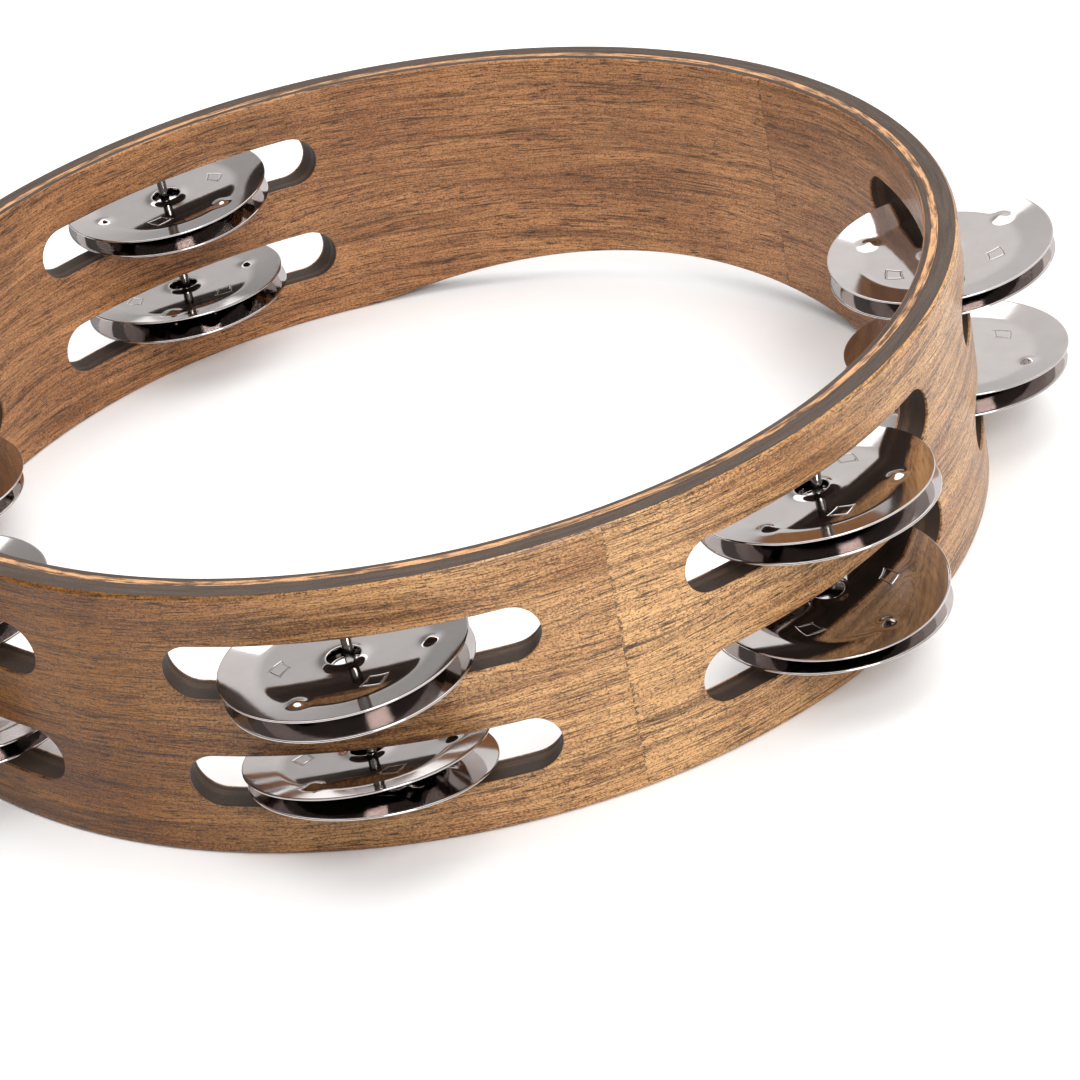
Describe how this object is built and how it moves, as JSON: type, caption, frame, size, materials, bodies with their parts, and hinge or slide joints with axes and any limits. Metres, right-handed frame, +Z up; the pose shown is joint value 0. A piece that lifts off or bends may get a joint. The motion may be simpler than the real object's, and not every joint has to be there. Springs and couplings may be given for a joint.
{
  "type": "tambourine",
  "caption": "Headless tambourine: bent laminated wood hoop with slotted wall, steel pins, two rows of paired dished steel jingles that rattle on the pins, and an arched hand grip.",
  "frame": {"origin": "centre of the hoop on the plane of its flat bottom rim", "axes": "+Z up along the hoop's axis, +Y from the centre to the middle of the hand grip, +X to the right"},
  "size_m": [0.2872, 0.2657, 0.0617],
  "materials": {
    "outer_veneer": "walnut-brown stained open-pored veneer, satin",
    "inner_veneer": "brown stained veneer, satin",
    "dark_ply": "dark grey-brown stained end grain, matt",
    "pale_ply": "golden brown ply edge, satin",
    "pin_steel": "bright steel wire",
    "jingle_steel": "nickel-bright polished steel sheet"
  },
  "bodies": {
    "hoop": {"outer_veneer": "outer_veneer", "outer_core_ply": "dark_ply", "middle_ply": "pale_ply", "inner_core_ply": "dark_ply", "inner_veneer": "inner_veneer", "pin_1": "pin_steel", "pin_2": "pin_steel", "pin_3": "pin_steel", "pin_4": "pin_steel", "pin_5": "pin_steel", "pin_6": "pin_steel"},
    "jingle_1_lower_bottom": {"jingle_1_lower_bottom": "jingle_steel"},
    "jingle_1_lower_top": {"jingle_1_lower_top": "jingle_steel"},
    "jingle_1_upper_bottom": {"jingle_1_upper_bottom": "jingle_steel"},
    "jingle_1_upper_top": {"jingle_1_upper_top": "jingle_steel"},
    "jingle_2_lower_bottom": {"jingle_2_lower_bottom": "jingle_steel"},
    "jingle_2_lower_top": {"jingle_2_lower_top": "jingle_steel"},
    "jingle_2_upper_bottom": {"jingle_2_upper_bottom": "jingle_steel"},
    "jingle_2_upper_top": {"jingle_2_upper_top": "jingle_steel"},
    "jingle_3_lower_bottom": {"jingle_3_lower_bottom": "jingle_steel"},
    "jingle_3_lower_top": {"jingle_3_lower_top": "jingle_steel"},
    "jingle_3_upper_bottom": {"jingle_3_upper_bottom": "jingle_steel"},
    "jingle_3_upper_top": {"jingle_3_upper_top": "jingle_steel"},
    "jingle_4_lower_bottom": {"jingle_4_lower_bottom": "jingle_steel"},
    "jingle_4_lower_top": {"jingle_4_lower_top": "jingle_steel"},
    "jingle_4_upper_bottom": {"jingle_4_upper_bottom": "jingle_steel"},
    "jingle_4_upper_top": {"jingle_4_upper_top": "jingle_steel"},
    "jingle_5_lower_bottom": {"jingle_5_lower_bottom": "jingle_steel"},
    "jingle_5_lower_top": {"jingle_5_lower_top": "jingle_steel"},
    "jingle_5_upper_bottom": {"jingle_5_upper_bottom": "jingle_steel"},
    "jingle_5_upper_top": {"jingle_5_upper_top": "jingle_steel"},
    "jingle_6_lower_bottom": {"jingle_6_lower_bottom": "jingle_steel"},
    "jingle_6_lower_top": {"jingle_6_lower_top": "jingle_steel"},
    "jingle_6_upper_bottom": {"jingle_6_upper_bottom": "jingle_steel"},
    "jingle_6_upper_top": {"jingle_6_upper_top": "jingle_steel"}
  },
  "joints": [
    {"name": "rattle_1_lower_bottom", "type": "slide", "parent": "hoop", "child": "jingle_1_lower_bottom", "axis": [0, 0, 1], "range_m": [-0.004, 0]},
    {"name": "rattle_1_lower_top", "type": "slide", "parent": "hoop", "child": "jingle_1_lower_top", "axis": [0, 0, 1], "range_m": [0, 0.0019]},
    {"name": "rattle_1_upper_bottom", "type": "slide", "parent": "hoop", "child": "jingle_1_upper_bottom", "axis": [0, 0, 1], "range_m": [-0.0025, 0]},
    {"name": "rattle_1_upper_top", "type": "slide", "parent": "hoop", "child": "jingle_1_upper_top", "axis": [0, 0, 1], "range_m": [0, 0.0033]},
    {"name": "rattle_2_lower_bottom", "type": "slide", "parent": "hoop", "child": "jingle_2_lower_bottom", "axis": [0, 0, 1], "range_m": [-0.0021, 0]},
    {"name": "rattle_2_lower_top", "type": "slide", "parent": "hoop", "child": "jingle_2_lower_top", "axis": [0, 0, 1], "range_m": [0, 0.0035]},
    {"name": "rattle_2_upper_bottom", "type": "slide", "parent": "hoop", "child": "jingle_2_upper_bottom", "axis": [0, 0, 1], "range_m": [-0.0036, 0]},
    {"name": "rattle_2_upper_top", "type": "slide", "parent": "hoop", "child": "jingle_2_upper_top", "axis": [0, 0, 1], "range_m": [0, 0.0025]},
    {"name": "rattle_3_lower_bottom", "type": "slide", "parent": "hoop", "child": "jingle_3_lower_bottom", "axis": [0, 0, 1], "range_m": [-0.0034, 0]},
    {"name": "rattle_3_lower_top", "type": "slide", "parent": "hoop", "child": "jingle_3_lower_top", "axis": [0, 0, 1], "range_m": [0, 0.0022]},
    {"name": "rattle_3_upper_bottom", "type": "slide", "parent": "hoop", "child": "jingle_3_upper_bottom", "axis": [0, 0, 1], "range_m": [-0.0027, 0]},
    {"name": "rattle_3_upper_top", "type": "slide", "parent": "hoop", "child": "jingle_3_upper_top", "axis": [0, 0, 1], "range_m": [0, 0.0033]},
    {"name": "rattle_4_lower_bottom", "type": "slide", "parent": "hoop", "child": "jingle_4_lower_bottom", "axis": [0, 0, 1], "range_m": [-0.0028, 0]},
    {"name": "rattle_4_lower_top", "type": "slide", "parent": "hoop", "child": "jingle_4_lower_top", "axis": [0, 0, 1], "range_m": [0, 0.0004]},
    {"name": "rattle_4_upper_bottom", "type": "slide", "parent": "hoop", "child": "jingle_4_upper_bottom", "axis": [0, 0, 1], "range_m": [-0.0021, 0]},
    {"name": "rattle_4_upper_top", "type": "slide", "parent": "hoop", "child": "jingle_4_upper_top", "axis": [0, 0, 1], "range_m": [0, 0.0029]},
    {"name": "rattle_5_lower_bottom", "type": "slide", "parent": "hoop", "child": "jingle_5_lower_bottom", "axis": [0, 0, 1], "range_m": [-0.0031, 0]},
    {"name": "rattle_5_lower_top", "type": "slide", "parent": "hoop", "child": "jingle_5_lower_top", "axis": [0, 0, 1], "range_m": [0, 0.001]},
    {"name": "rattle_5_upper_bottom", "type": "slide", "parent": "hoop", "child": "jingle_5_upper_bottom", "axis": [0, 0, 1], "range_m": [-0.0027, 0]},
    {"name": "rattle_5_upper_top", "type": "slide", "parent": "hoop", "child": "jingle_5_upper_top", "axis": [0, 0, 1], "range_m": [0, 0.0039]},
    {"name": "rattle_6_lower_bottom", "type": "slide", "parent": "hoop", "child": "jingle_6_lower_bottom", "axis": [0, 0, 1], "range_m": [-0.0031, 0]},
    {"name": "rattle_6_lower_top", "type": "slide", "parent": "hoop", "child": "jingle_6_lower_top", "axis": [0, 0, 1], "range_m": [0, 0.0024]},
    {"name": "rattle_6_upper_bottom", "type": "slide", "parent": "hoop", "child": "jingle_6_upper_bottom", "axis": [0, 0, 1], "range_m": [-0.0029, 0]},
    {"name": "rattle_6_upper_top", "type": "slide", "parent": "hoop", "child": "jingle_6_upper_top", "axis": [0, 0, 1], "range_m": [0, 0.0028]}
  ]
}
